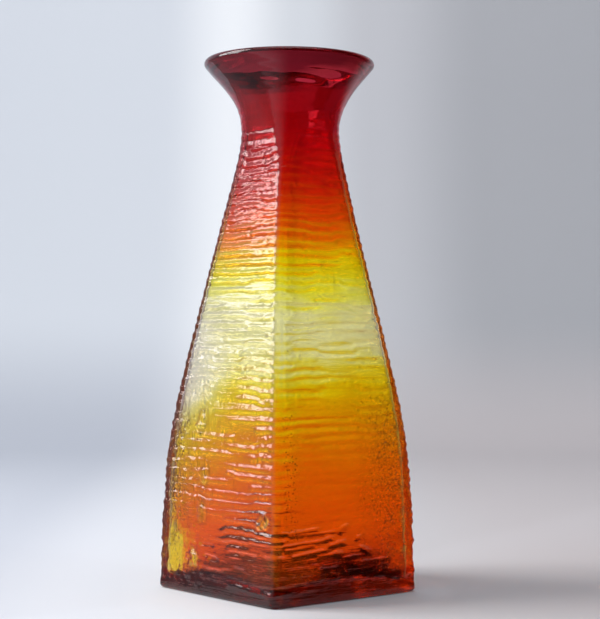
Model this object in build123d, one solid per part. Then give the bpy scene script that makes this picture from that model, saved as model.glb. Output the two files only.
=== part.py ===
from build123d import *
import math
import os

# Tall hand blown art glass vase. It is one piece of glass: a square body with rounded corners
# that tapers to a narrow neck, and a round trumpet mouth with a fire polished lip. Each node is
# one zone of that piece, and it meets the next zone face to face.
# Frame: +Z up, origin on the table at the centre of the foot, faces square to X and Y.

# Driving dimensions, in mm
HEIGHT = 356.0
BASE_REACH = 86.2  # from the axis to the corner, at the foot
BASE_CORNER_RADIUS = 5.0
INNER_CORNER_RADIUS = 5.0
FACE_BELLY = 0.4  # how far the middle of a face bows out
WALL_FOOT = 5.2  # measured square to the surface; it thins towards the neck
WALL_TOP = 2.6
THINNING_START = 30.0
THINNING_END = 200.0
FLOOR = 7.5  # height of the inner floor in the corners
FLOOR_FILLET = 4.5
DOME_RADIUS = 75.0  # the floor rises in a shallow dome over the push-up
DOME_HEIGHT = 12.0
HEEL_RADIUS = 2.5

# The corner line leans in slightly, bends to the long taper at the knee, and turns out at the neck
LOWER_LEAN = 0.035
TAPER_LEAN = 0.249
FLARE_LEAN = 0.98
KNEE_HEIGHT = 98.5
KNEE_SOFTNESS = 16.5
NECK_HEIGHT = 321.2
NECK_SOFTNESS = 9.6

# Where one zone ends and the next begins
BASE_TOP = 22.0
BODY_TOP = 285.0
NECK_TOP = 330.0
FLARE_TOP = 346.0

# The section turns from square to round between these heights
ROUNDING_START = 272.0
ROUND_SIDE_HALF_ANGLE = math.radians(15.0)

LIP_BEAD_RADIUS = 3.1
LIP_WIDEST_RADIUS = 57.4

PUSH_UP_RADIUS = 45.0
PUSH_UP_DEPTH = 2.0
PONTIL_RADIUS = 14.0
PONTIL_DEPTH = 2.4  # the ground disc in the middle of the push-up


def soft_ramp(x, softness):
    """Zero below x = 0, x above it, and a smooth bend between."""
    return softness * math.log1p(math.exp(x / softness))


def soft_switch(x, softness):
    """Zero below x = 0, one above it, and a smooth turn between."""
    return 1.0 / (1.0 + math.exp(-x / softness))


def corner_reach(z):
    """Distance from the axis to the outside of a corner."""
    knee = (TAPER_LEAN - LOWER_LEAN) * soft_ramp(z - KNEE_HEIGHT, KNEE_SOFTNESS)
    neck = (FLARE_LEAN + TAPER_LEAN) * soft_ramp(z - NECK_HEIGHT, NECK_SOFTNESS)
    return BASE_REACH - LOWER_LEAN * z - knee + neck


def corner_lean(z):
    """How fast the corner moves out as z rises."""
    knee = (TAPER_LEAN - LOWER_LEAN) * soft_switch(z - KNEE_HEIGHT, KNEE_SOFTNESS)
    neck = (FLARE_LEAN + TAPER_LEAN) * soft_switch(z - NECK_HEIGHT, NECK_SOFTNESS)
    return neck - knee - LOWER_LEAN


def smooth(x, low, high):
    """0 at low, 1 at high, with a smooth turn between."""
    t = min(max((x - low) / (high - low), 0.0), 1.0)
    return t * t * (3.0 - 2.0 * t)


def roundness(z):
    """0 where the section is square with rounded corners, 1 where it is a circle."""
    return smooth(z, ROUNDING_START, FLARE_TOP)


def wall(z):
    return WALL_FOOT + (WALL_TOP - WALL_FOOT) * smooth(z, THINNING_START, THINNING_END)


def outside_half(z):
    """Half the distance between two opposite faces, outside."""
    diagonal = math.sqrt(2.0) * (1.0 - roundness(z)) + roundness(z)
    return BASE_CORNER_RADIUS + (corner_reach(z) - BASE_CORNER_RADIUS) / diagonal


def inside_half(z):
    """The same, inside the wall."""
    return outside_half(z) - wall(z) * math.hypot(1.0, corner_lean(z))


def section(z, half, corner):
    """A closed face at height z: four slightly bowed sides and four rounded corners."""
    t = roundness(z)
    radius = corner + (half - corner) * t
    reach = (math.sqrt(2.0) * (half - radius) + radius) / math.sqrt(2.0)
    side = half - radius + half * math.sin(ROUND_SIDE_HALF_ANGLE) * t
    shoulder = half - half * (1.0 - math.cos(ROUND_SIDE_HALF_ANGLE)) * t
    middle = half + FACE_BELLY * (1.0 - t)
    quarter = [
        ThreePointArc((shoulder, -side), (middle, 0), (shoulder, side)),
        ThreePointArc((shoulder, side), (reach, reach), (side, shoulder)),
    ]
    arcs = [arc.rotate(Axis.Z, 90 * turn) for turn in range(4) for arc in quarter]
    return Pos(0, 0, z) * make_face(Curve() + arcs)


def outside(heights):
    return loft([section(z, outside_half(z), BASE_CORNER_RADIUS) for z in heights])


def inside(heights):
    return loft([section(z, inside_half(z), INNER_CORNER_RADIUS) for z in heights])


def stations(low, high, count):
    return [low + (high - low) * i / (count - 1) for i in range(count)]


def shell(low, high, count):
    heights = stations(low, high, count)
    return outside(heights) - inside(heights)


def cap(radius, height, top):
    """A ball whose top is at the given height, and as wide as radius one cap height below it."""
    ball_radius = (radius**2 + height**2) / (2.0 * height)
    return Pos(0, 0, top - ball_radius) * Sphere(ball_radius)


def base():
    """Heel and domed floor, with a push-up and a ground pontil disc underneath."""
    blank = outside(stations(0.0, BASE_TOP, 3))
    blank = fillet(blank.faces().sort_by(Axis.Z)[0].edges(), HEEL_RADIUS)
    hollow = inside(stations(FLOOR, BASE_TOP, 3))
    hollow = fillet(hollow.faces().sort_by(Axis.Z)[0].edges(), FLOOR_FILLET)
    hollow = hollow - cap(DOME_RADIUS, DOME_HEIGHT, FLOOR + DOME_HEIGHT)
    push_up = cap(PUSH_UP_RADIUS, PUSH_UP_DEPTH, PUSH_UP_DEPTH)
    pontil = Cylinder(PONTIL_RADIUS, PONTIL_DEPTH, align=(Align.CENTER, Align.CENTER, Align.MIN))
    return blank - hollow - push_up - pontil


def tangent_point(start, centre, radius, side):
    """Where a line from start touches the circle, on the side given by side = 1 or -1."""
    away_x = start[0] - centre[0]
    away_z = start[1] - centre[1]
    turn = math.acos(radius / math.hypot(away_x, away_z)) * side
    angle = math.atan2(away_z, away_x) + turn
    return (centre[0] + radius * math.cos(angle), centre[1] + radius * math.sin(angle))


def lip():
    """Fire polished edge: the wall ends in a rounded bead, a little thicker than itself."""
    outer_start = (outside_half(FLARE_TOP), FLARE_TOP)
    inner_start = (inside_half(FLARE_TOP), FLARE_TOP)
    bead = (LIP_WIDEST_RADIUS - LIP_BEAD_RADIUS, HEIGHT - LIP_BEAD_RADIUS)
    outer_end = tangent_point(outer_start, bead, LIP_BEAD_RADIUS, 1)
    inner_end = tangent_point(inner_start, bead, LIP_BEAD_RADIUS, -1)
    bead_top = (bead[0], HEIGHT)
    profile = [
        Line(inner_start, outer_start),
        Line(outer_start, outer_end),
        ThreePointArc(outer_end, bead_top, inner_end),
        Line(inner_end, inner_start),
    ]
    return revolve(Plane.XZ * make_face(Curve() + profile), Axis.Z)


zones = {
    "base": base(),
    "body": shell(BASE_TOP, BODY_TOP, 12),
    "neck": shell(BODY_TOP, NECK_TOP, 7),
    "flare": shell(NECK_TOP, FLARE_TOP, 4),
    "lip": lip(),
}

os.makedirs("parts", exist_ok=True)
for name, zone in zones.items():
    export_step(zone, f"parts/{name}.step")
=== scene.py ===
import math

import bpy
import numpy as np
from mathutils import Matrix, Vector


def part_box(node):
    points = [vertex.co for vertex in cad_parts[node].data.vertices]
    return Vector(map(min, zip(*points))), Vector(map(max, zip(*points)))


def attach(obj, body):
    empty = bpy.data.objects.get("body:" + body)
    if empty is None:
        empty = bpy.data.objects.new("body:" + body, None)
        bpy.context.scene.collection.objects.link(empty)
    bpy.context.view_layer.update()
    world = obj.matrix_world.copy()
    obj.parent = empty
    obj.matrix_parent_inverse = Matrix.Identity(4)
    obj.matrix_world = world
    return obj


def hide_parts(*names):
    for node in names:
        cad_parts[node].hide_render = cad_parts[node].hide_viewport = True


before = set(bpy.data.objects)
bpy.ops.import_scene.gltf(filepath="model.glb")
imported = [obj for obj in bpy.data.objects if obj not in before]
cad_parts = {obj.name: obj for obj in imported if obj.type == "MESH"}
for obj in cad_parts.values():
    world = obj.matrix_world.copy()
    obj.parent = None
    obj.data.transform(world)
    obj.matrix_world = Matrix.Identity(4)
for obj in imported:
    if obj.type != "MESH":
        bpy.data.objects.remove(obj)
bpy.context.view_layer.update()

MM = 0.001

# ---------------------------------------------------------------- the vase's form, as in the CAD
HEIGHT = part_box("lip")[1].z
FLARE_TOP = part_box("flare")[1].z
LIP_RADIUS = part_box("lip")[1].x

# The vase's corners point along the diagonals. The one at +X -Y is the front corner, the one at
# +X +Y the right-hand corner and the one at -X -Y the left-hand corner.
BASE_REACH = 86.2 * MM
CORNER_RADIUS = 5.0 * MM
INNER_CORNER_RADIUS = 5.0 * MM
FACE_BELLY = 0.4 * MM
WALL_FOOT = 5.2 * MM
WALL_TOP = 2.6 * MM
THINNING_START = 30.0 * MM
THINNING_END = 200.0 * MM
FLOOR = 7.5 * MM
FLOOR_FILLET = 4.5 * MM
DOME_RADIUS = 75.0 * MM
DOME_HEIGHT = 12.0 * MM
DOME_BLEND = 45.0 * MM
HEEL_RADIUS = 2.5 * MM
LOWER_LEAN = 0.035
TAPER_LEAN = 0.249
FLARE_LEAN = 0.98
KNEE_HEIGHT = 98.5 * MM
KNEE_SOFTNESS = 16.5 * MM
NECK_HEIGHT = 321.2 * MM
NECK_SOFTNESS = 9.6 * MM
ROUNDING_START = 272.0 * MM
LIP_BEAD = 3.1 * MM
PUSH_UP_RADIUS = 45.0 * MM
PUSH_UP_DEPTH = 2.0 * MM
PONTIL_RADIUS = 14.0 * MM
PONTIL_DEPTH = 2.4 * MM

COLUMNS = 440  # points in each ring of the glass skin
CORNER_CROWDING = 0.6  # how much closer the columns stand at the corners
ROW_STEP = 0.8 * MM
INNER_ROW_STEP = 1.6 * MM
POLE_SHARE = 0.02  # size of the ring nearest a pole, as a share of the floor
UNDERSIDE_RINGS = 44
UNDERSIDE_CORNER_SHARE = 0.6
PONTIL_EDGE = 0.6 * MM
FLOOR_RINGS = 48
TURN_STEPS = 8  # steps round the heel and the floor's fillet
LIP_SIDE_RINGS = 6
LIP_ARC_STEPS = 16
LIP_INNER_STEPS = 8


def soft_ramp(x, softness):
    """0 below 0 and x above it, with a soft knee."""
    return softness * np.logaddexp(0.0, x / softness)


def soft_switch(x, softness):
    """The slope of soft_ramp: 0 well below 0, 1 well above it."""
    return 1.0 / (1.0 + np.exp(-x / softness))


def smooth(x, low, high):
    """0 at low, 1 at high, with a smooth turn between."""
    t = np.clip((x - low) / (high - low), 0.0, 1.0)
    return t * t * (3.0 - 2.0 * t)


def above(x, low, high):
    """0 below low and 1 above high; x is in metres, low and high in mm."""
    return smooth(x, low * MM, high * MM)


def below(x, low, high):
    """1 below low and 0 above high; x is in metres, low and high in mm."""
    return 1.0 - above(x, low, high)


def corner_reach(z):
    """How far the corners stand from the axis at height z."""
    knee = (TAPER_LEAN - LOWER_LEAN) * soft_ramp(z - KNEE_HEIGHT, KNEE_SOFTNESS)
    neck = (FLARE_LEAN + TAPER_LEAN) * soft_ramp(z - NECK_HEIGHT, NECK_SOFTNESS)
    return BASE_REACH - LOWER_LEAN * z - knee + neck


def corner_lean(z):
    """How fast corner_reach grows with height."""
    knee = (TAPER_LEAN - LOWER_LEAN) * soft_switch(z - KNEE_HEIGHT, KNEE_SOFTNESS)
    neck = (FLARE_LEAN + TAPER_LEAN) * soft_switch(z - NECK_HEIGHT, NECK_SOFTNESS)
    return neck - knee - LOWER_LEAN


def roundness(z):
    """0 where the section is square, 1 where it is round."""
    return smooth(z, ROUNDING_START, FLARE_TOP)


def outside_half(z):
    """From the axis to the middle of a face, on the outside."""
    diagonal = math.sqrt(2.0) * (1.0 - roundness(z)) + roundness(z)
    return CORNER_RADIUS + (corner_reach(z) - CORNER_RADIUS) / diagonal


def wall(z):
    return WALL_FOOT + (WALL_TOP - WALL_FOOT) * smooth(z, THINNING_START, THINNING_END)


def inside_half(z):
    return outside_half(z) - wall(z) * np.hypot(1.0, corner_lean(z))


def column_angles():
    even = np.arange(COLUMNS) * 2.0 * np.pi / COLUMNS
    return even + CORNER_CROWDING * np.sin(4.0 * even) / 4.0


ANGLES = column_angles()
FOLDED = np.abs((ANGLES + np.pi / 4.0) % (np.pi / 2.0) - np.pi / 4.0)  # 0 mid face, pi/4 at a corner


def polar_radius(half, corner, t):
    """Distance from the axis to a rounded square, for each column; t is 1 for a circle."""
    radius = corner + (half - corner) * t
    centre = half - radius
    along = centre * (np.cos(FOLDED) + np.sin(FOLDED))
    on_corner = along + np.sqrt(np.maximum(along**2 - 2.0 * centre**2 + radius**2, 0.0))
    belly = FACE_BELLY * (1.0 - t) * np.clip(1.0 - np.tan(FOLDED) ** 2, 0.0, 1.0)
    on_side = (half + belly) / np.cos(FOLDED)
    return np.where(np.tan(FOLDED) * half <= centre, on_side, on_corner)


def ring(z, half, corner, t):
    r = polar_radius(half, corner, t)
    return np.stack([r * np.cos(ANGLES), r * np.sin(ANGLES), np.full(COLUMNS, z)], axis=1)


def outer_rings():
    """From the middle of the underside, round the heel and up to the lip."""
    rings = []
    foot_half = float(outside_half(0.0)) - HEEL_RADIUS
    for share in np.linspace(POLE_SHARE, 1.0, UNDERSIDE_RINGS):
        flat = ring(0.0, foot_half * share, CORNER_RADIUS * UNDERSIDE_CORNER_SHARE * share, 0.0)
        spread = np.hypot(flat[:, 0], flat[:, 1])
        flat[:, 2] = PUSH_UP_DEPTH * np.clip(1.0 - (spread / PUSH_UP_RADIUS) ** 2, 0.0, 1.0)
        ground = 1.0 - smooth(spread, PONTIL_RADIUS - PONTIL_EDGE, PONTIL_RADIUS + PONTIL_EDGE)
        flat[:, 2] = flat[:, 2] * (1.0 - ground) + PONTIL_DEPTH * ground
        rings.append(flat)
    for turn in np.linspace(0.0, math.pi / 2.0, TURN_STEPS)[1:-1]:
        z = HEEL_RADIUS * (1.0 - math.cos(turn))
        half = float(outside_half(z)) - HEEL_RADIUS * (1.0 - math.sin(turn))
        rings.append(ring(z, half, CORNER_RADIUS, 0.0))
    count = int((FLARE_TOP - HEEL_RADIUS) / ROW_STEP)
    for z in np.linspace(HEEL_RADIUS, FLARE_TOP, count):
        rings.append(ring(z, float(outside_half(z)), CORNER_RADIUS, float(roundness(z))))
    return rings


def tangent_angle(start, centre, radius, side):
    """Where on a circle a line from start touches it; side is 1 or -1."""
    away_x = start[0] - centre[0]
    away_z = start[1] - centre[1]
    return math.atan2(away_z, away_x) + math.acos(radius / math.hypot(away_x, away_z)) * side


def straight(start, end, steps):
    """Points from start, which is left out, to end."""
    return [start + (end - start) * share for share in np.linspace(0.0, 1.0, steps)[1:]]


def lip_rings():
    """The rounded bead at the mouth, from its outer side over the top."""
    centre = np.array([LIP_RADIUS - LIP_BEAD, HEIGHT - LIP_BEAD])
    outer = np.array([float(outside_half(FLARE_TOP)), FLARE_TOP])
    inner = np.array([float(inside_half(FLARE_TOP)), FLARE_TOP])
    first = tangent_angle(outer, centre, LIP_BEAD, 1)
    last = tangent_angle(inner, centre, LIP_BEAD, -1)
    if last < first:
        last += 2.0 * math.pi
    bead = [
        centre + LIP_BEAD * np.array([math.cos(angle), math.sin(angle)])
        for angle in np.linspace(first, last, LIP_ARC_STEPS)
    ]
    profile = straight(outer, bead[0], LIP_SIDE_RINGS + 1) + bead[1:]
    profile += straight(bead[-1], inner, LIP_INNER_STEPS)
    return [ring(z, radius, radius, 1.0) for radius, z in profile]


def inner_rings():
    """Down the inside of the wall, round the fillet and across the floor."""
    rings = []
    low = FLOOR + FLOOR_FILLET
    count = int((FLARE_TOP - low) / INNER_ROW_STEP)
    for z in np.linspace(FLARE_TOP, low, count)[1:]:
        rings.append(ring(z, float(inside_half(z)), INNER_CORNER_RADIUS, float(roundness(z))))
    for turn in np.linspace(0.0, math.pi / 2.0, TURN_STEPS)[1:]:
        z = FLOOR + FLOOR_FILLET * (1.0 - math.sin(turn))
        half = float(inside_half(low)) - FLOOR_FILLET * (1.0 - math.cos(turn))
        rings.append(ring(z, half, INNER_CORNER_RADIUS, 0.0))
    floor_half = float(inside_half(low)) - FLOOR_FILLET
    for share in np.linspace(1.0, POLE_SHARE, FLOOR_RINGS)[1:]:
        rings.append(ring(FLOOR, floor_half * share, INNER_CORNER_RADIUS * share, 0.0))
    return [domed(r) for r in rings]


def domed(points):
    """Lifts the inner floor to a shallow dome, and squeezes the wall above it to match."""
    spread = np.hypot(points[:, 0], points[:, 1])
    lift = DOME_HEIGHT * np.clip(1.0 - (spread / DOME_RADIUS) ** 2, 0.0, 1.0)
    share = np.clip((DOME_BLEND - points[:, 2]) / (DOME_BLEND - FLOOR), 0.0, 1.0)
    points[:, 2] += lift * share
    return points


# ---------------------------------------------------------------- unevenness
HASH_FACTORS = (73856093, 19349663, 83492791, 2654435761)  # large numbers that part neighbours
HASH_STEPS = ((15, 2246822519), (13, 3266489917))  # shift and factor
HASH_LAST_SHIFT = 16
HASH_MASK = 0xFFFFFFFF
LATTICE_SHIFT = 4096  # keeps the lattice's indices above 0


def lattice(ix, iy, iz, seed):
    """A repeatable value from -1 to 1 for each whole-number point."""
    factor_x, factor_y, factor_z, factor_seed = HASH_FACTORS
    with np.errstate(over="ignore"):
        h = (ix * factor_x) ^ (iy * factor_y) ^ (iz * factor_z) ^ (seed * factor_seed)
        for shift, factor in HASH_STEPS:
            h = (h ^ (h >> shift)) * factor & HASH_MASK
        h = h ^ (h >> HASH_LAST_SHIFT)
    return h / (HASH_MASK / 2.0) - 1.0


def noise(points, across, tall, seed):
    """Smooth noise from -1 to 1, with a grain of so many mm across and tall."""
    p = points / np.array([across * MM, across * MM, tall * MM])
    whole = np.floor(p).astype(np.int64)
    f = p - whole
    f = f * f * f * (f * (f * 6.0 - 15.0) + 10.0)
    whole = whole + LATTICE_SHIFT
    total = 0.0
    for cx in (0, 1):
        wx = f[..., 0] if cx else 1.0 - f[..., 0]
        for cy in (0, 1):
            wy = f[..., 1] if cy else 1.0 - f[..., 1]
            for cz in (0, 1):
                wz = f[..., 2] if cz else 1.0 - f[..., 2]
                corner = lattice(whole[..., 0] + cx, whole[..., 1] + cy, whole[..., 2] + cz, seed)
                total = total + wx * wy * wz * corner
    return total


def saw(turns):
    """A wave from 0 to 1 that rises slowly and falls faster."""
    share = turns - np.floor(turns)
    return smooth(share, 0.0, 0.50) - smooth(share, 0.52, 0.95)


# All in mm
RIDGE_SPACING = 6.0
RIDGE_HEIGHT = 0.70
LOW_RIDGE_EXTRA = 0.16
RIDGE_MEAN = 0.35
STREAK_HEIGHT = 0.16
LUMP_HEIGHT = 0.12
KNOB_HEIGHT = 0.8
PIT_DEPTH = 0.30
LEFT_CRUST = 0.55
RIGHT_CRUST = 0.32
TRUMPET_WAVE = 0.22
INNER_WAVE = 0.35
INNER_STREAK = 0.12
INNER_TRUMPET_WAVE = 0.20
FLOOR_LUMP = 1.2
FLOOR_GRIT = 0.7

FAINTEST_RIDGE = 0.05  # share of its height that a fading ridge keeps
SMOOTHER_LOSS = 0.60  # share of the ridges' height lost low on the +X face


def ridge_turns(p):
    """The ridges counted upwards, in whole and part ridges; they drift, break and wobble."""
    drift = 0.10 * noise(p, 140, 40, 1)
    fault = 0.15 * np.tanh(9.0 * noise(p, 26, 16, 2))
    wobble = 0.05 * noise(p, 14, 7, 12) + 0.08 * noise(p, 3.4, 5, 15)
    return p[..., 2] / (RIDGE_SPACING * MM) + drift + fault + wobble


def ridge_presence(p, at_corner):
    """1 where a ridge has its full height, 0 where it fades out."""
    z = p[..., 2]
    sparse = 0.90 * below(z, 28, 54) - 0.22 * below(z, 90, 140)
    presence = smooth(noise(p, 26, 5, 3) - sparse, -0.42, 0.12)
    presence = np.maximum(presence, 0.45 * at_corner)
    return np.maximum(presence, 0.60 * above(z, 190, 220))


def ripples(p):
    """Height of the bark-like ridges on the outside, in metres."""
    z = p[..., 2]
    at_corner = smooth(np.abs(np.abs(p[..., 0]) - np.abs(p[..., 1])), 16 * MM, 6 * MM)
    tall = (RIDGE_HEIGHT + LOW_RIDGE_EXTRA * below(z, 100, 150)) * MM
    kept = FAINTEST_RIDGE + (1.0 - FAINTEST_RIDGE) * ridge_presence(p, at_corner)
    ridges = tall * saw(ridge_turns(p)) * kept
    smoother = smooth(p[..., 0] / outside_half(z), 0.90, 0.99) * below(z, 95, 130)
    ridges = ridges * (1.0 - SMOOTHER_LOSS * smoother * (1.0 - at_corner))
    streaks = STREAK_HEIGHT * MM * noise(p, 40, 2.6, 4)
    lumps = LUMP_HEIGHT * MM * noise(p, 24, 9, 5)
    knobs = KNOB_HEIGHT * MM * at_corner * noise(p, 20, 7, 16) * below(z, 110, 170)
    pits = -PIT_DEPTH * MM * smooth(noise(p, 4.5, 6, 6), 0.62, 0.9)
    return ridges + streaks + lumps + knobs + pits + crust(p)


def crust(p):
    """Rough glass beside the left-hand and right-hand corners, in metres."""
    x, y, z = p[..., 0], p[..., 1], p[..., 2]
    grit = noise(p, 2.6, 3.0, 17)
    left = above(-x - y, 66, 84) * below(z, 105, 130)
    right = above(x + y, 88, 104) * below(z, 110, 140)
    return LEFT_CRUST * MM * grit * left + RIGHT_CRUST * MM * grit * right


# Marks left by hand are scattered in zones. "front" is the -Y face and "side" the +X face. Each
# pair is a least and a most, in mm: place along the face, height, and then the mark's own sizes
BLOB_ZONES = (  # face, how many, along, height, half width, half height, depth
    ("front", 4, (-30, 0), (20, 115), (3.0, 5.0), (5.0, 8.5), (1.2, 1.7)),
    ("front", 3, (-50, -45), (40, 100), (3.0, 3.5), (6.0, 10.0), (0.8, 1.0)),
    ("front", 1, (45, 55), (40, 60), (5.0, 6.0), (4.0, 5.0), (1.8, 2.0)),
)
FOLD_ZONES = (  # face, how many, start along, its height, length, rise, half width, depth
    ("side", 5, (-55, -45), (30, 50), (20, 40), (0, 3), (0.8, 1.5), (0.7, 1.2)),
    ("side", 7, (-20, 25), (30, 45), (3, 8), (-4, 4), (1.5, 2.0), (1.2, 1.6)),
    ("side", 4, (-35, 15), (20, 30), (15, 30), (0, 2), (1.0, 1.4), (0.5, 0.8)),
    ("front", 6, (-15, 40), (20, 35), (8, 14), (-0.5, 0.5), (0.9, 1.1), (0.6, 0.9)),
)


def scattered(zones, seed):
    """The marks of each zone, spread evenly in height and at random in everything else."""
    rng = np.random.default_rng(seed)
    marks = []
    for face, count, along, height, *sizes in zones:
        for i in range(count):
            z = height[0] + (height[1] - height[0]) * (i + rng.random()) / count
            marks.append((face, rng.uniform(*along), z, *(rng.uniform(*pair) for pair in sizes)))
    return marks


BLOBS = scattered(BLOB_ZONES, 3)
FOLDS = scattered(FOLD_ZONES, 8)
FACE_DEPTH = 9 * MM  # how far in from the outside a point still belongs to a face


def face_coordinates(p, face):
    """Along the face, and whether the point belongs to that face's wall."""
    along, ahead = (p[..., 0], -p[..., 1]) if face == "front" else (p[..., 1], p[..., 0])
    return along, ahead > outside_half(p[..., 2]) - FACE_DEPTH


def blob_distance(p, blob):
    """0 in the middle of a blob and about 1 at its ragged edge, and whether p is on its face."""
    face, along, height, half_width, half_height, _ = blob
    x, on_face = face_coordinates(p, face)
    d = np.hypot((x - along * MM) / (half_width * MM), (p[..., 2] - height * MM) / (half_height * MM))
    return d + 0.45 * noise(p, 3.0, 3.5, 31), on_face


def blob_share(p, blob):
    """1 inside a blob and 0 outside it."""
    d, on_face = blob_distance(p, blob)
    return (1.0 - smooth(d, 0.55, 1.15)) * on_face


def fold_share(p, fold):
    """1 along the middle of a fold, dying away to its sides."""
    face, x0, z0, length, rise, half_width, _ = fold
    x, on_face = face_coordinates(p, face)
    z = p[..., 2] + 0.35 * MM * noise(p, 9, 9, 32)
    dx, dz = length * MM, rise * MM
    along = ((x - x0 * MM) * dx + (z - z0 * MM) * dz) / (dx * dx + dz * dz)
    held = np.clip(along, 0.0, 1.0)
    d = np.hypot(x - x0 * MM - held * dx, z - z0 * MM - held * dz) / (half_width * MM)
    return np.exp(-(d**2)) * on_face


def hand_marks(p):
    """Pitted blobs that stand out, and folds that cut in, in metres."""
    height = np.zeros(p.shape[:-1])
    rough = noise(p, 1.9, 2.3, 33)
    for blob in BLOBS:
        height += blob_share(p, blob) * (0.45 + 0.55 * rough) * blob[-1] * MM
    for fold in FOLDS:
        height -= fold_share(p, fold) * fold[-1] * MM
    return height


def pale_blobs_and_corner_light(p):
    """0 where the glass has its full colour, 1 where it is nearly yellow: the blobs, and painted light
    down the lower corners.
    """
    share = np.zeros(p.shape[:-1])
    for blob in BLOBS:
        share = np.maximum(share, blob_share(p, blob))
    # Painted light: pale strips down the lower right-hand, front and left-hand corners.
    x, y, z = p[..., 0], p[..., 1], p[..., 2]
    ragged = 4.0 * MM * noise(p, 9, 9, 34) + 3.0 * MM * noise(p, 2.8, 3.4, 35)
    reach = np.minimum(np.abs(x), np.abs(y))
    broken = smooth(noise(p, 12, 5, 37), -0.35, 0.1)
    right = above(reach + 1.4 * ragged, 52, 56) * above(x + y, 60, 90) * broken
    right = right * below(z, 95, 140) * above(z, 12, 18)
    front = above(reach + ragged, 56, 60) * above(x - y, 60, 90)
    front = front * below(z, 60, 75) * above(z, 12, 18)
    leaf = 13.0 * MM * below(z, 32, 46)
    left = above(reach + ragged + leaf, 46, 50) * above(-x - y, 60, 84)
    left = left * below(z, 95, 130) * above(z + ragged, 7, 11)
    return np.maximum.reduce([share, 0.9 * right, 0.8 * front, left])


def painted_shade_share(p):
    """Painted shade: the share of light lost down the left-hand and right-hand corners and round the
    blobs, painted into the glass's colour.
    """
    rims = np.zeros(p.shape[:-1])
    for blob in BLOBS:
        d, on_face = blob_distance(p, blob)
        rims = np.maximum(rims, 0.50 * np.exp(-(((d - 1.05) / 0.20) ** 2)) * on_face)
    x, y, z = p[..., 0], p[..., 1], p[..., 2]
    half = outside_half(z)
    reach = np.minimum(np.abs(x), np.abs(y)) + 1.2 * MM * noise(p, 6, 7, 36)
    line = smooth(reach / half, 0.87, 0.94) * below(z, 285, 315)
    band = smooth(reach / half, 0.82, 0.89) * below(z, 110, 170)
    over_foot = 0.92 * above(z, 32, 44)
    left = smooth(-x - y, 0.9 * half, 1.3 * half)
    right = smooth(x + y, 0.9 * half, 1.3 * half)
    line = line * ((0.25 + 0.6 * over_foot) * left + 0.35 * right)
    band = band * (over_foot * left + 0.5 * right)
    return np.maximum.reduce([rims, line, band])


DIMPLES = (  # each column's angle from +X and half width, in degrees, and its depth in mm
    (-55.0, 8.0, 0.25),
    (-20.0, 9.0, 0.15),
    (-80.0, 7.0, 0.10),
)
DIMPLE_SPACING = 5.4  # mm
DIMPLE_SLANT = 0.05


def dimples(p):
    """Columns of long shallow dimples round the front of the trumpet, in metres."""
    z = p[..., 2]
    angle = np.degrees(np.arctan2(p[..., 1], p[..., 0]))
    wave = np.sin(2.0 * np.pi * z / (DIMPLE_SPACING * MM) + DIMPLE_SLANT * angle)
    total = np.zeros(z.shape)
    for middle, half_width, depth in DIMPLES:
        total += np.exp(-(((angle - middle) / half_width) ** 2)) * depth * MM * wave
    return total * above(z, 328, 334) * below(z, 347, 351)


def grid_normals(p):
    """Unit normals of a grid of rings; columns wrap round."""
    across = np.roll(p, -1, axis=1) - np.roll(p, 1, axis=1)
    up = np.gradient(p, axis=0)
    n = np.cross(across, up)
    return n / np.maximum(np.linalg.norm(n, axis=-1, keepdims=True), 1e-12)


def uneven_outside(outer, lip):
    """Moves the smooth outer rings to the hand blown surface; the lip's top stays smooth."""
    p = np.array(outer + lip)
    z = p[..., 2]
    outside = np.ones(len(p))
    outside[len(outer) + LIP_SIDE_RINGS :] = 0.0
    mask = above(z, 3, 10) * (1.0 - 0.75 * above(z, 275, 322)) * below(z, 318, 334)
    corner = smooth(FOLDED, math.radians(40), math.radians(44))
    mask = mask * (1.0 - 0.25 * corner * below(z, 290, 320))
    height = (ripples(p) - RIDGE_MEAN * MM) * mask
    trumpet = above(z, 300, 325) * below(z, 338, 346)
    height = height + TRUMPET_WAVE * MM * noise(p, 30, 6, 8) * trumpet
    height = height + dimples(p) + hand_marks(p) * above(z, 3, 8)
    return p + grid_normals(p) * (height * outside[:, None])[..., None]


def uneven_inside(inner):
    """Gives the inner rings broad waves on the wall and lumps on the floor."""
    q = np.array(inner)
    z = q[..., 2]
    mask = smooth(z, FLOOR + 1 * MM, FLOOR + 12 * MM)
    wall_waves = INNER_WAVE * MM * noise(q, 30, 8, 9) + INNER_STREAK * MM * noise(q, 22, 3.4, 10)
    trumpet = above(z, 318, 330) * below(z, 340, 346)
    height = wall_waves * mask + INNER_TRUMPET_WAVE * MM * noise(q, 22, 3.6, 13) * trumpet
    lumps = FLOOR_LUMP * MM * noise(q, 13, 13, 11) + FLOOR_GRIT * MM * noise(q, 5, 5, 14)
    height = height + (1.0 - mask) * lumps
    return q + grid_normals(q) * height[..., None]


FRONT_CORNER = Vector((1.0, -1.0, 0.0)).normalized()
RIGHT_CORNER = Vector((1.0, 1.0, 0.0)).normalized()
LEFT_CORNER = -RIGHT_CORNER
FRONT_FACE = Vector((0.0, -1.0, 0.0))
SIDE_FACE = Vector((1.0, 0.0, 0.0))
TWIST = -3.0  # degrees, from the lower body to the neck
NECK_ASIDE = 0.9  # mm towards the right-hand corner
MOUTH_TILT = 0.8  # mm up at the front corner's side of the lip


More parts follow.
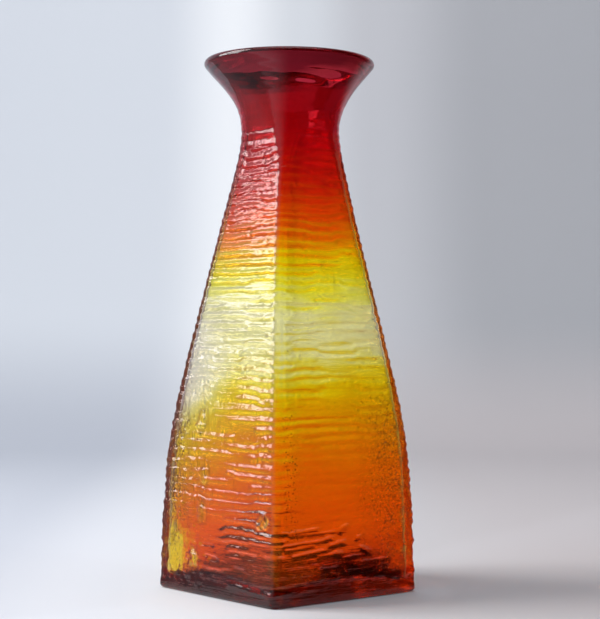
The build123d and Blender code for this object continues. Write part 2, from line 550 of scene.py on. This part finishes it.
def lean_and_twist(p):
    """The neck stands a little to one side, the corners turn slightly, and the mouth isn't quite level."""
    x, y, z = p[:, 0].copy(), p[:, 1].copy(), p[:, 2].copy()
    turn = math.radians(TWIST) * above(z, 120, 320)
    c, s = np.cos(turn), np.sin(turn)
    p[:, 0], p[:, 1] = x * c - y * s, x * s + y * c
    aside = NECK_ASIDE * MM * (above(z, 230, 300) - above(z, 325, 348))
    p[:, 0] += aside * RIGHT_CORNER.x
    p[:, 1] += aside * RIGHT_CORNER.y
    ahead = (p[:, 0] * FRONT_CORNER.x + p[:, 1] * FRONT_CORNER.y) / LIP_RADIUS
    p[:, 2] += MOUTH_TILT * MM * ahead * above(z, 310, 345)
    return p


# ---------------------------------------------------------------- camera
CAMERA_AZIMUTH = math.radians(50.3)  # 0 looks along +Y
CAMERA_DISTANCE = 1.1136  # metres, as are the next two
CAMERA_HEIGHT = 0.1725
CAMERA_NEAREST = 0.01
CAMERA_LENS = 95.96  # mm, as is the sensor
CAMERA_SENSOR = 36.0
CAMERA_PITCH = math.radians(0.797)
CAMERA_YAW = math.radians(0.417)
CAMERA_ROLL = math.radians(0.28)


def turned(first, second, angle):
    """A pair of axes, turned by this angle from the first towards the second."""
    return (
        first * math.cos(angle) + second * math.sin(angle),
        second * math.cos(angle) - first * math.sin(angle),
    )


def make_camera():
    sideways = Vector((math.cos(CAMERA_AZIMUTH), math.sin(CAMERA_AZIMUTH), 0.0))
    towards_camera = Vector((math.sin(CAMERA_AZIMUTH), -math.cos(CAMERA_AZIMUTH), 0.0))
    ahead, right = turned(-towards_camera, sideways, CAMERA_YAW)
    ahead, up = turned(ahead, Vector((0.0, 0.0, 1.0)), CAMERA_PITCH)
    right, up = turned(right, up, CAMERA_ROLL)
    data = bpy.data.cameras.new("camera")
    data.lens = CAMERA_LENS
    data.sensor_width = CAMERA_SENSOR
    data.clip_start = CAMERA_NEAREST
    camera = bpy.data.objects.new("camera", data)
    bpy.context.scene.collection.objects.link(camera)
    place = towards_camera * CAMERA_DISTANCE + Vector((0.0, 0.0, CAMERA_HEIGHT))
    axes = Matrix((right, up, -ahead)).transposed().to_4x4()
    camera.matrix_world = Matrix.Translation(place) @ axes
    bpy.context.scene.camera = camera


# ---------------------------------------------------------------- meshes
def link(name, data):
    made = bpy.data.objects.new(name, data)
    bpy.context.scene.collection.objects.link(made)
    return made


def skin(rings, bottom, top):
    """Points and faces of a closed skin: a pole, then the rings, then a pole."""
    count = len(rings)
    points = np.concatenate([[bottom], np.concatenate(rings), [top]])
    j = np.arange(COLUMNS)
    k = (j + 1) % COLUMNS
    faces = [(0, int(b), int(a)) for a, b in zip(1 + j, 1 + k)]
    for i in range(count - 1):
        low = 1 + i * COLUMNS
        high = low + COLUMNS
        faces += np.stack([low + j, low + k, high + k, high + j], axis=1).tolist()
    last = 1 + (count - 1) * COLUMNS
    pole = last + COLUMNS
    faces += [(int(last + a), int(last + b), pole) for a, b in zip(j, k)]
    return points, faces


BUBBLE_SEGMENTS = 8
BUBBLE_ROWS = 5
BUBBLE_LONG = 1.5  # stretched along the face
BUBBLE_FLAT = 0.8  # and flattened in height
BUBBLE_SEED = 11
BUBBLE_PATCHES = (  # face, how many, along from and to, height from and to, radius from and to, in mm
    ("side", 300, 35.0, 55.0, 20.0, 120.0, 0.3, 0.8),
    ("side", 80, 10.0, 40.0, 60.0, 150.0, 0.2, 0.5),
    ("side", 110, -50.0, -40.0, 40.0, 120.0, 0.3, 0.6),
    ("side", 70, -40.0, 10.0, 100.0, 200.0, 0.2, 0.4),
    ("front", 110, -55.0, -40.0, 30.0, 120.0, 0.3, 0.7),
    ("front", 40, -35.0, 40.0, 50.0, 230.0, 0.2, 0.4),
)


def unit_bubble():
    """Points and faces of a closed ball of radius 1; its faces look inwards."""
    turns = np.arange(BUBBLE_SEGMENTS) * 2.0 * np.pi / BUBBLE_SEGMENTS
    points = [[0.0, 0.0, -1.0]]
    for row in range(1, BUBBLE_ROWS):
        tip = np.pi * row / BUBBLE_ROWS
        wide = math.sin(tip)
        points += [[wide * math.cos(t), wide * math.sin(t), -math.cos(tip)] for t in turns]
    points.append([0.0, 0.0, 1.0])
    faces = []
    for i in range(BUBBLE_SEGMENTS):
        k = (i + 1) % BUBBLE_SEGMENTS
        faces.append((0, 1 + i, 1 + k))
        for row in range(BUBBLE_ROWS - 2):
            under = 1 + row * BUBBLE_SEGMENTS
            over = under + BUBBLE_SEGMENTS
            faces.append((under + i, over + i, over + k, under + k))
        under = 1 + (BUBBLE_ROWS - 2) * BUBBLE_SEGMENTS
        faces.append((under + k, under + i, under + BUBBLE_SEGMENTS))
    return np.array(points), faces


def bubbles(first):
    """Points and faces of small bubbles inside the wall; first is the first point's number."""
    rng = np.random.default_rng(BUBBLE_SEED)
    ball, ball_faces = unit_bubble()
    points, faces = [], []
    for face, count, a0, a1, z0, z1, r0, r1 in BUBBLE_PATCHES:
        for _ in range(count):
            along = (a0 + (a1 - a0) * rng.random()) * MM
            z = (z0 + (z1 - z0) * rng.random()) * MM
            radius = (r0 + (r1 - r0) * rng.random() ** 2) * MM
            ahead = float(outside_half(z)) - float(wall(z)) * (0.40 + 0.25 * rng.random())
            middle = np.array([ahead, along, z])
            stretch = np.array([1.0, BUBBLE_LONG, BUBBLE_FLAT])
            if face == "front":
                middle = np.array([along, -ahead, z])
                stretch = np.array([BUBBLE_LONG, 1.0, BUBBLE_FLAT])
            low = first + len(points) * len(ball)
            points.append(middle + ball * stretch * radius)
            faces += [tuple(low + corner for corner in corners) for corners in ball_faces]
    return np.concatenate(points), faces


def nodes_of(material):
    material.use_nodes = True
    tree = material.node_tree
    tree.nodes.clear()
    return tree


def new(tree, kind, **values):
    """A node of this kind, with these settings."""
    node = tree.nodes.new(kind)
    for name, value in values.items():
        setattr(node, name, value)
    return node


GLASS_STOPS = (  # height in mm, share of light that passes through the whole vase
    (0, (0.004, 0.0003, 0.0006)),
    (4, (0.014, 0.0005, 0.0008)),
    (7, (0.10, 0.004, 0.001)),
    (10, (0.40, 0.018, 0.003)),
    (20, (0.84, 0.075, 0.003)),
    (42, (1.0, 0.115, 0.002)),
    (62, (1.0, 0.140, 0.001)),
    (85, (1.0, 0.21, 0.001)),
    (105, (1.0, 0.38, 0.001)),
    (122, (1.0, 0.52, 0.001)),
    (140, (1.0, 0.76, 0.003)),
    (152, (1.0, 0.92, 0.08)),
    (163, (1.0, 1.0, 0.40)),
    (184, (1.0, 1.0, 0.46)),
    (197, (1.0, 0.98, 0.16)),
    (206, (1.0, 0.93, 0.02)),
    (220, (1.0, 0.72, 0.001)),
    (235, (1.0, 0.28, 0.001)),
    (252, (0.88, 0.08, 0.001)),
    (274, (0.60, 0.01, 0.002)),
    (300, (0.45, 0.001, 0.003)),
    (318, (0.38, 0.0005, 0.002)),
    (334, (0.30, 0.0008, 0.0030)),
    (341, (0.22, 0.0008, 0.0020)),
    (347, (0.050, 0.0001, 0.0004)),
    (356, (0.038, 0.0001, 0.0004)),
)
SURFACES_CROSSED = 4
CLEAR_GLASS = (0.99, 0.99, 0.96)
# Nearly yellow in the blobs, and painted light down the lower corners.
YELLOW_BLOBS_AND_CORNER_LIGHT = (1.0, 0.86, 0.16)
# Painted shade: the pits beside the corners are coloured dark.
PIT_PAINTED_SHADE = (0.26, 0.11, 0.04)
PIT_SHADE_SHARE = 0.88
# Painted shade down the corners and round the blobs.
EDGE_PAINTED_SHADE = (0.27, 0.14, 0.22)
# Painted shade: the foot of the -Y face is coloured nearly black.
FRONT_FOOT_PAINTED_SHADE = (0.020, 0.008, 0.012)
FRONT_FOOT_SHADE_SHARE = 0.85
GLASS_IOR = 1.5
DEEP_COLOUR = (0.88, 0.47, 0.0)
DEEP_DENSITY = 30.0

# In metres: how far each thing moves the bands, and how wide and high the dark foot domes
BROAD_SHIFT = 0.055
STREAK_SHIFT = 0.030
LEFT_SHIFT = 0.030
FRONT_SHIFT = 0.012
FOOT_DOME_REACH = 0.084
FOOT_DOME_RISE = 0.020
SIDE_DOME_EXTRA = 0.014
FOOT_RAGGEDNESS = 1.1  # as a share of the dome's rise

# Height of the fine relief in metres, and the shares of each part of it
RELIEF_HEIGHT = 0.00026
SPECKLE_SHARE = 0.50
PIT_RELIEF = -0.9
SCRATCH_SHARE = 0.75


def surface_colour(through):
    """The base colour that lets this share through all surfaces; each passes its square root."""
    return tuple(c ** (2.0 / SURFACES_CROSSED) for c in through)


def math_node(tree, operation, *values):
    node = new(tree, "ShaderNodeMath", operation=operation)
    for socket, value in zip(node.inputs, values):
        if isinstance(value, bpy.types.NodeSocket):
            tree.links.new(value, socket)
        else:
            socket.default_value = value
    return node.outputs[0]


def ease(tree, value, low, high):
    """0 below low, 1 above high, with a smooth turn between."""
    node = new(tree, "ShaderNodeMapRange", interpolation_type="SMOOTHSTEP")
    tree.links.new(value, node.inputs["Value"])
    node.inputs["From Min"].default_value = low
    node.inputs["From Max"].default_value = high
    return node.outputs[0]


def rest_of(tree, share):
    return math_node(tree, "SUBTRACT", 1.0, share)


def falling(tree, value, low, high):
    """1 below low, 0 above high, with a smooth turn between."""
    return rest_of(tree, ease(tree, value, low, high))


def product(tree, first, *others):
    for other in others:
        first = math_node(tree, "MULTIPLY", first, other)
    return first


def added(tree, value, share, base):
    """The base plus this share of the value."""
    return math_node(tree, "MULTIPLY_ADD", value, share, base)


def grain(tree, place, stretch, detail=2.0, roughness=0.5):
    """Noise from 0 to 1; stretch is how many grains fit in a metre along x, y and z."""
    scaled = new(tree, "ShaderNodeMapping")
    scaled.inputs["Scale"].default_value = stretch
    tree.links.new(place, scaled.inputs["Vector"])
    node = new(tree, "ShaderNodeTexNoise")
    node.inputs["Scale"].default_value = 1.0
    node.inputs["Detail"].default_value = detail
    node.inputs["Roughness"].default_value = roughness
    tree.links.new(scaled.outputs[0], node.inputs["Vector"])
    return node.outputs["Fac"]


def centred_grain(tree, place, stretch, detail, roughness):
    """Noise from -0.5 to 0.5."""
    return math_node(tree, "SUBTRACT", grain(tree, place, stretch, detail, roughness), 0.5)


def towards(tree, place, direction):
    """How far the place lies from the axis in this direction, in metres."""
    node = new(tree, "ShaderNodeVectorMath", operation="DOT_PRODUCT")
    tree.links.new(place, node.inputs[0])
    node.inputs[1].default_value = direction
    return node.outputs["Value"]


def banded(tree, share):
    """The colour bands; share is 0 at the foot and 1 at the lip."""
    ramp = new(tree, "ShaderNodeValToRGB")
    ramp.color_ramp.interpolation = "LINEAR"
    band = ramp.color_ramp.elements
    for stop, position, (_, through) in zip(band, (0.0, 1.0), (GLASS_STOPS[0], GLASS_STOPS[-1])):
        stop.position = position
        stop.color = (*surface_colour(through), 1)
    for stop_height, through in GLASS_STOPS[1:-1]:
        stop = band.new(stop_height * MM / HEIGHT)
        stop.color = (*surface_colour(through), 1)
    tree.links.new(share, ramp.inputs[0])
    return ramp.outputs[0]


def band_height(tree, place, height, left):
    """The height at which the bands are read: uneven, streaked along the ridges, moved in places."""
    broad = centred_grain(tree, place, (14, 14, 14), 2.0, 0.5)
    streak = centred_grain(tree, place, (16, 16, 170), 3.0, 0.6)
    moved = added(tree, broad, BROAD_SHIFT, height)
    moved = added(tree, streak, STREAK_SHIFT, moved)
    moved = added(tree, product(tree, left, falling(tree, height, 0.14, 0.20)), LEFT_SHIFT, moved)
    facing = ease(tree, towards(tree, place, FRONT_FACE), 0.030, 0.045)
    belt = product(tree, ease(tree, height, 0.03, 0.09), facing, falling(tree, height, 0.15, 0.17))
    moved = added(tree, belt, FRONT_SHIFT, moved)
    return math_node(tree, "SUBTRACT", moved, foot_rise(tree, place, height))


def glass_colour(tree, place, height):
    """The colour bands by height, with the clear and yellow places, the painted light down the lower
    corners, and the painted shade on the front foot, down the corners, round the blobs and in the pits
    laid over them.
    """
    left = ease(tree, towards(tree, place, LEFT_CORNER), 0.030, 0.078)
    share = math_node(tree, "DIVIDE", band_height(tree, place, height, left), HEIGHT)
    clear_belt = product(tree, ease(tree, height, 0.095, 0.15), falling(tree, height, 0.17, 0.215))
    colour = mixed(tree, product(tree, clear_belt, left), banded(tree, share), CLEAR_GLASS)
    # Nearly yellow in the blobs, and painted light down the lower corners.
    pale = new(tree, "ShaderNodeAttribute", attribute_name="pale")
    colour = mixed(tree, pale.outputs["Fac"], colour, YELLOW_BLOBS_AND_CORNER_LIGHT)
    # Painted shade: the foot of the -Y face is darkened.
    risen = math_node(tree, "SUBTRACT", height, foot_rise(tree, place, height))
    facing = ease(tree, towards(tree, place, FRONT_FACE), 0.045, 0.058)
    foot = product(tree, falling(tree, risen, 0.004, 0.008), facing, FRONT_FOOT_SHADE_SHARE)
    colour = mixed(tree, foot, colour, FRONT_FOOT_PAINTED_SHADE)
    # Painted shade down the corners and round the blobs.
    dark = new(tree, "ShaderNodeAttribute", attribute_name="dark")
    colour = mixed(tree, dark.outputs["Fac"], colour, EDGE_PAINTED_SHADE)
    # Painted shade in the pits.
    return mixed(tree, product(tree, pitted(tree, place, height), PIT_SHADE_SHARE), colour, PIT_PAINTED_SHADE)


def foot_rise(tree, place, height):
    """How much higher the dark foot reaches: domed over the floor, with a ragged edge, in metres."""
    flat = new(tree, "ShaderNodeVectorMath", operation="MULTIPLY")
    tree.links.new(place, flat.inputs[0])
    flat.inputs[1].default_value = (1.0 / FOOT_DOME_REACH, 1.0 / FOOT_DOME_REACH, 0.0)
    away = new(tree, "ShaderNodeVectorMath", operation="LENGTH")
    tree.links.new(flat.outputs[0], away.inputs[0])
    dome = rest_of(tree, math_node(tree, "POWER", away.outputs["Value"], 2.0))
    side = ease(tree, towards(tree, place, SIDE_FACE), 0.045, 0.058)
    reach = added(tree, side, SIDE_DOME_EXTRA, FOOT_DOME_RISE)
    rise = product(tree, math_node(tree, "MAXIMUM", dome, 0.0), reach)
    ragged = centred_grain(tree, place, (110, 110, 150), 3.0, 0.65)
    rise = added(tree, ragged, product(tree, reach, FOOT_RAGGEDNESS), rise)
    return product(tree, rise, falling(tree, height, 0.028, 0.050))


def pitted(tree, place, height):
    """1 in the small pits that crowd beside the right-hand and left-hand corners."""
    dots = ease(tree, grain(tree, place, (520, 520, 600), 1.0), 0.58, 0.63)
    patches = ease(tree, grain(tree, place, (80, 80, 80)), 0.40, 0.54)
    right = ease(tree, towards(tree, place, RIGHT_CORNER), 0.042, 0.070)
    left = ease(tree, towards(tree, place, LEFT_CORNER), 0.058, 0.074)
    left = product(tree, left, ease(tree, height, 0.034, 0.048))
    beside = math_node(tree, "MAXIMUM", right, left)
    low = falling(tree, height, 0.11, 0.155)
    where = product(tree, beside, low, ease(tree, height, 0.012, 0.024))
    return product(tree, dots, patches, where)


def mixed(tree, share, first, second):
    """The first colour where share is 0, the second, fixed one where it is 1."""
    node = new(tree, "ShaderNodeMix", data_type="RGBA")
    colours = [socket for socket in node.inputs if socket.type == "RGBA"]
    tree.links.new(share, node.inputs["Factor"])
    tree.links.new(first, colours[0])
    colours[1].default_value = (*second, 1)
    return next(socket for socket in node.outputs if socket.type == "RGBA")


def glass_relief(tree, place, height):
    """Fine lines along the ridges, speckle, pits, and upright scratches low on the -Y face."""
    lines = grain(tree, place, (34, 34, 620), 3.0, 0.6)
    speckle = grain(tree, place, (330, 330, 560))
    upright = grain(tree, place, (560, 560, 40), 1.0)
    facing = ease(tree, towards(tree, place, FRONT_FACE), 0.040, 0.050)
    belt = product(tree, ease(tree, height, 0.045, 0.06), facing, falling(tree, height, 0.12, 0.17))
    calm = falling(tree, height, 0.17, 0.23)
    relief = added(tree, product(tree, speckle, calm), SPECKLE_SHARE, lines)
    relief = added(tree, pitted(tree, place, height), PIT_RELIEF, relief)
    relief = added(tree, product(tree, upright, belt), SCRATCH_SHARE, relief)
    bump = new(tree, "ShaderNodeBump")
    bump.inputs["Strength"].default_value = 1.0
    bump.inputs["Distance"].default_value = RELIEF_HEIGHT
    faded = product(tree, relief, falling(tree, height, 0.28, 0.325))
    tree.links.new(faded, bump.inputs["Height"])
    return bump.outputs[0]


def glass_material():
    material = bpy.data.materials.new("struck_glass")
    tree = nodes_of(material)
    out = new(tree, "ShaderNodeOutputMaterial")
    shader = new(tree, "ShaderNodeBsdfPrincipled")
    shader.inputs["Transmission Weight"].default_value = 1.0
    shader.inputs["Roughness"].default_value = 0.0
    shader.inputs["IOR"].default_value = GLASS_IOR
    coordinate = new(tree, "ShaderNodeTexCoord")
    place = coordinate.outputs["Object"]
    apart = new(tree, "ShaderNodeSeparateXYZ")
    tree.links.new(place, apart.inputs[0])
    height = apart.outputs["Z"]
    tree.links.new(glass_colour(tree, place, height), shader.inputs["Base Color"])
    tree.links.new(glass_relief(tree, place, height), shader.inputs["Normal"])
    tree.links.new(shader.outputs[0], out.inputs["Surface"])
    soak = new(tree, "ShaderNodeVolumeAbsorption")
    soak.inputs["Color"].default_value = (*DEEP_COLOUR, 1)
    soak.inputs["Density"].default_value = DEEP_DENSITY
    tree.links.new(soak.outputs[0], out.inputs["Volume"])
    return material


# ---------------------------------------------------------------- studio
STUDIO_RADIUS = 1.85
STUDIO_COVE = 0.6
STUDIO_WALL = 2.4
STUDIO_SIDES = 96
STUDIO_DROP = 0.0001  # the floor lies this much below the vase
PAPER_ROUGHNESS = 0.7
PAPER_SPECULAR = 0.2
GLOW_HEIGHT = 0.21  # the paper glows fully from here up
DARK_SIDE = math.radians(50.3)  # the room is darkest in this direction, from +X towards +Y
# Each stop is a place from -1 on the dark side to 1 on the bright side, and a colour
WALL_PAPER = (0.42, 0.43, 0.44)
# Painted light and shade on the floor: its colour is brighter in a band through the middle of the room and
# darkest on the room's dark side.
FLOOR_PAINTED_LIGHT = (
    (-1.0, (0.55, 0.52, 0.53)),
    (-0.12, (0.62, 0.58, 0.58)),
    (-0.03, (0.64, 0.63, 0.64)),
    (0.03, (0.81, 0.82, 0.84)),
    (0.07, (0.76, 0.78, 0.82)),
    (0.14, (0.60, 0.63, 0.69)),
    (1.0, (0.60, 0.63, 0.69)),
)
STUDIO_GLOW = (
    (-1.0, (0.03, 0.03, 0.04)),
    (-0.30, (0.03, 0.03, 0.04)),
    (-0.19, (0.04, 0.04, 0.05)),
    (-0.08, (0.17, 0.17, 0.19)),
    (-0.01, (0.31, 0.33, 0.36)),
    (0.055, (0.52, 0.54, 0.57)),
    (0.125, (0.33, 0.36, 0.41)),
    (1.0, (0.31, 0.34, 0.40)),
)


def shade_across(tree, stops):
    """A brightness that runs from the dark side of the room to the bright side."""
    place = new(tree, "ShaderNodeTexCoord")
    along = new(tree, "ShaderNodeVectorMath", operation="DOT_PRODUCT")
    tree.links.new(place.outputs["Object"], along.inputs[0])
    along.inputs[1].default_value = (-math.cos(DARK_SIDE), -math.sin(DARK_SIDE), 0.0)
    share = new(tree, "ShaderNodeMapRange")
    share.inputs["From Min"].default_value = -STUDIO_RADIUS
    share.inputs["From Max"].default_value = STUDIO_RADIUS
    tree.links.new(along.outputs["Value"], share.inputs["Value"])
    ramp = new(tree, "ShaderNodeValToRGB")
    ramp.color_ramp.interpolation = "EASE"
    band = ramp.color_ramp.elements
    for stop, (place_along, colour) in zip(band, (stops[0], stops[-1])):
        stop.position = (place_along + 1.0) / 2.0
        stop.color = (*colour, 1)
    for place_along, colour in stops[1:-1]:
        stop = band.new((place_along + 1.0) / 2.0)
        stop.color = (*colour, 1)
    tree.links.new(share.outputs[0], ramp.inputs[0])
    return ramp.outputs[0]


def paper_material():
    """Pale paper: the floor is lit only by the lights, with painted light and shade in its colour across
    the room, and the backdrop also glows with painted light.
    """
    material = bpy.data.materials.new("studio_paper")
    tree = nodes_of(material)
    out = new(tree, "ShaderNodeOutputMaterial")
    shader = new(tree, "ShaderNodeBsdfPrincipled")
    shader.inputs["Roughness"].default_value = PAPER_ROUGHNESS
    shader.inputs["Specular IOR Level"].default_value = PAPER_SPECULAR
    place = new(tree, "ShaderNodeTexCoord")
    apart = new(tree, "ShaderNodeSeparateXYZ")
    tree.links.new(place.outputs["Object"], apart.inputs[0])
    risen = ease(tree, apart.outputs["Z"], 0.0, GLOW_HEIGHT)
    colour = mixed(tree, risen, shade_across(tree, FLOOR_PAINTED_LIGHT), WALL_PAPER)
    tree.links.new(colour, shader.inputs["Base Color"])
    tree.links.new(shade_across(tree, STUDIO_GLOW), shader.inputs["Emission Color"])
    tree.links.new(risen, shader.inputs["Emission Strength"])
    tree.links.new(shader.outputs[0], out.inputs["Surface"])
    return material


# Distances and heights in metres, and angles in degrees from -Y towards +X
CARD_NEAR = 0.11
CARD_DISTANCE = 0.8
CARD_HEIGHT = 1.5
CARD_START = -5.0
CARD_FADE = 60.0
CARD_END = 200.0
LOW_CARD_START = -85.0
LOW_CARD_HEIGHT = 0.37
LOW_CARD_SHARE = 0.5
CARD_COLUMNS = 36
CARD_GLOW = (0.62, 0.66, 0.74)


def from_vase(azimuth_degrees, elevation_degrees):
    """The direction that leads away from the vase at this angle from -Y and this elevation."""
    a, e = math.radians(azimuth_degrees), math.radians(elevation_degrees)
    return Vector((math.sin(a) * math.cos(e), -math.cos(a) * math.cos(e), math.sin(e)))


def black_card_glow(angles):
    """None in the middle of the card, rising towards its two ends."""
    start = 1.0 - smooth(angles, CARD_START, CARD_START + CARD_FADE)
    return np.maximum(start, smooth(angles, CARD_END - CARD_FADE / 2.0, CARD_END))


def grey_card_glow(angles):
    return np.full(len(angles), LOW_CARD_SHARE)


def make_studio():
    """A pale floor that curves up into a round backdrop on every side."""
    floor_radius = STUDIO_RADIUS - STUDIO_COVE
    profile = [(r, 0.0) for r in np.linspace(0.0, floor_radius, 8)[1:]]
    for turn in np.linspace(0.0, math.pi / 2.0, 16)[1:]:
        out = floor_radius + STUDIO_COVE * math.sin(turn)
        profile.append((out, STUDIO_COVE * (1.0 - math.cos(turn))))
    profile.append((STUDIO_RADIUS, STUDIO_WALL))
    verts = [(0.0, 0.0, -STUDIO_DROP)]
    for r, z in profile:
        for i in range(STUDIO_SIDES):
            a = 2.0 * math.pi * i / STUDIO_SIDES
            verts.append((r * math.cos(a), r * math.sin(a), z - STUDIO_DROP))
    faces = [(0, 1 + i, 1 + (i + 1) % STUDIO_SIDES) for i in range(STUDIO_SIDES)]
    for row in range(len(profile) - 1):
        low = 1 + row * STUDIO_SIDES
        high = low + STUDIO_SIDES
        for i in range(STUDIO_SIDES):
            k = (i + 1) % STUDIO_SIDES
            faces.append((low + i, high + i, high + k, low + k))
    mesh = bpy.data.meshes.new("studio_floor")
    mesh.from_pydata(verts, [], faces)
    mesh.shade_smooth()
    floor = link("studio_floor", mesh)
    mesh.materials.append(paper_material())
    # black on the room's dark side, and grey and low on its bright side, under the window: sheets of
    # painted shade and dim painted light that only the glass's reflections see
    tall = card("black_card", CARD_START, CARD_END, CARD_HEIGHT, 0.002, black_card_glow)
    low = card("grey_card", LOW_CARD_START, CARD_START, LOW_CARD_HEIGHT, 0.001, grey_card_glow)


def card(name, start, end, top, lift, glow):
    """A curved card that only reflections see: painted shade and dim painted light in the glass's
    reflections, which keep the colour of the glass deep.
    """
    outline = [(r, lift) for r in np.linspace(CARD_NEAR, CARD_DISTANCE, 6)]
    outline += [(CARD_DISTANCE, z) for z in np.linspace(0.0, top, 8)[1:]]
    verts = []
    for r, z in outline:
        for a in np.linspace(start, end, CARD_COLUMNS + 1):
            ahead = from_vase(float(a), 0.0) * float(r)
            verts.append((ahead.x, ahead.y, float(z)))
    faces = []
    for row in range(len(outline) - 1):
        for i in range(CARD_COLUMNS):
            low = row * (CARD_COLUMNS + 1) + i
            high = low + CARD_COLUMNS + 1
            faces.append((low, high, high + 1, low + 1))
    mesh = bpy.data.meshes.new(name)
    mesh.from_pydata(verts, [], faces)
    angles = (np.degrees([math.atan2(x, -y) for x, y, _ in verts]) + 100.0) % 360.0 - 100.0
    fade = mesh.attributes.new("fade", "FLOAT", "POINT")
    fade.data.foreach_set("value", glow(angles).astype(np.float32))
    material = bpy.data.materials.new(name)
    tree = nodes_of(material)
    out = new(tree, "ShaderNodeOutputMaterial")
    shader = new(tree, "ShaderNodeEmission")
    shader.inputs["Color"].default_value = (*CARD_GLOW, 1)
    fading = new(tree, "ShaderNodeAttribute", attribute_name="fade")
    tree.links.new(fading.outputs["Fac"], shader.inputs["Strength"])
    tree.links.new(shader.outputs[0], out.inputs["Surface"])
    mesh.materials.append(material)
    sheet = link(name, mesh)
    sheet.visible_camera = False
    sheet.visible_diffuse = False
    sheet.visible_transmission = False
    sheet.visible_shadow = False
    return sheet


def area_light(name, middle, facing, width, tall, radiance, colour):
    """A rectangle of light that looks along facing; radiance is its brightness."""
    data = bpy.data.lights.new(name, "AREA")
    data.shape = "RECTANGLE"
    data.size = width
    data.size_y = tall
    data.energy = radiance * math.pi * width * tall
    data.color = colour
    light = link(name, data)
    turn = (-facing).to_track_quat("Z", "Y")
    light.matrix_world = Matrix.Translation(middle) @ turn.to_matrix().to_4x4()
    light.visible_camera = False
    return light


WINDOW_DISTANCE = 1.3
WINDOW_BACK_EDGE = -58.0  # degrees, as are the next three
WINDOW_FRONT_EDGE = -20.0
WINDOW_SILL = 13.0
WINDOW_HEAD = 58.0
WINDOW_RADIANCE = 8.5
WINDOW_COLOUR = (1.0, 0.97, 0.96)
MULLION = 0.05
OVERHEAD_PLACE = Vector((0.1, -0.1, 2.2))
OVERHEAD_SIZE = 1.6
OVERHEAD_RADIANCE = 1.3
OVERHEAD_COLOUR = (0.95, 0.97, 1.0)
ROOM_COLOUR = (0.86, 0.9, 1.0)
ROOM_STRENGTH = 0.25
LIGHT_BOUNCES = 24


def make_window():
    """A tall window on the left, a little behind, with a cross of bars."""
    middle_azimuth = (WINDOW_BACK_EDGE + WINDOW_FRONT_EDGE) / 2.0
    away = from_vase(middle_azimuth, 0.0)
    across = Vector((-away.y, away.x, 0.0))
    half = WINDOW_DISTANCE * math.tan(math.radians(WINDOW_FRONT_EDGE - WINDOW_BACK_EDGE) / 2.0)
    low = HEIGHT / 2.0 + WINDOW_DISTANCE * math.tan(math.radians(WINDOW_SILL))
    high = HEIGHT / 2.0 + WINDOW_DISTANCE * math.tan(math.radians(WINDOW_HEAD))
    wide = half - MULLION / 2.0
    tall = (high - low - MULLION) / 2.0
    for i, side in enumerate((-1, 1)):
        for k, up in enumerate((-1, 1)):
            middle = away * WINDOW_DISTANCE + across * side * (wide + MULLION) / 2.0
            middle.z = (low + high) / 2.0 + up * (tall + MULLION) / 2.0
            name = f"window_{i}{k}"
            area_light(name, middle, -away, wide, tall, WINDOW_RADIANCE, WINDOW_COLOUR)


def make_lights():
    make_window()
    down = Vector((0, 0, -1))
    size = OVERHEAD_SIZE
    area_light("overhead", OVERHEAD_PLACE, down, size, size, OVERHEAD_RADIANCE, OVERHEAD_COLOUR)
    world = bpy.data.worlds.new("studio")
    bpy.context.scene.world = world
    world.use_nodes = True
    background = world.node_tree.nodes["Background"]
    background.inputs["Color"].default_value = (*ROOM_COLOUR, 1)
    background.inputs["Strength"].default_value = ROOM_STRENGTH
    scene = bpy.context.scene
    scene.view_settings.view_transform = "Standard"
    # light runs a long way inside thick glass before it leaves it
    scene.cycles.max_bounces = LIGHT_BOUNCES
    scene.cycles.glossy_bounces = LIGHT_BOUNCES
    scene.cycles.transmission_bounces = LIGHT_BOUNCES


def make_vase():
    rings = [*uneven_outside(outer_rings(), lip_rings()), *uneven_inside(inner_rings())]
    under = np.array([0.0, 0.0, PONTIL_DEPTH])
    over = np.array([0.0, 0.0, FLOOR + DOME_HEIGHT])
    points, faces = skin(rings, under, over)
    seeds, seed_faces = bubbles(len(points))
    points = np.concatenate([points, seeds])
    # "pale" holds the yellow blobs and painted light down the lower corners; "dark" holds painted shade
    # down the corners and round the blobs.
    shares = {"pale": pale_blobs_and_corner_light(points), "dark": painted_shade_share(points)}
    mesh = bpy.data.meshes.new("vase_glass")
    mesh.from_pydata(lean_and_twist(points).tolist(), [], faces + seed_faces)
    mesh.shade_smooth()
    for name, share in shares.items():
        attribute = mesh.attributes.new(name, "FLOAT", "POINT")
        attribute.data.foreach_set("value", share.astype(np.float32))
    vase = link("vase_glass", mesh)
    mesh.materials.append(glass_material())
    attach(vase, "root")
    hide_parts("base", "body", "neck", "flare", "lip")


make_camera()
make_studio()
make_lights()
make_vase()
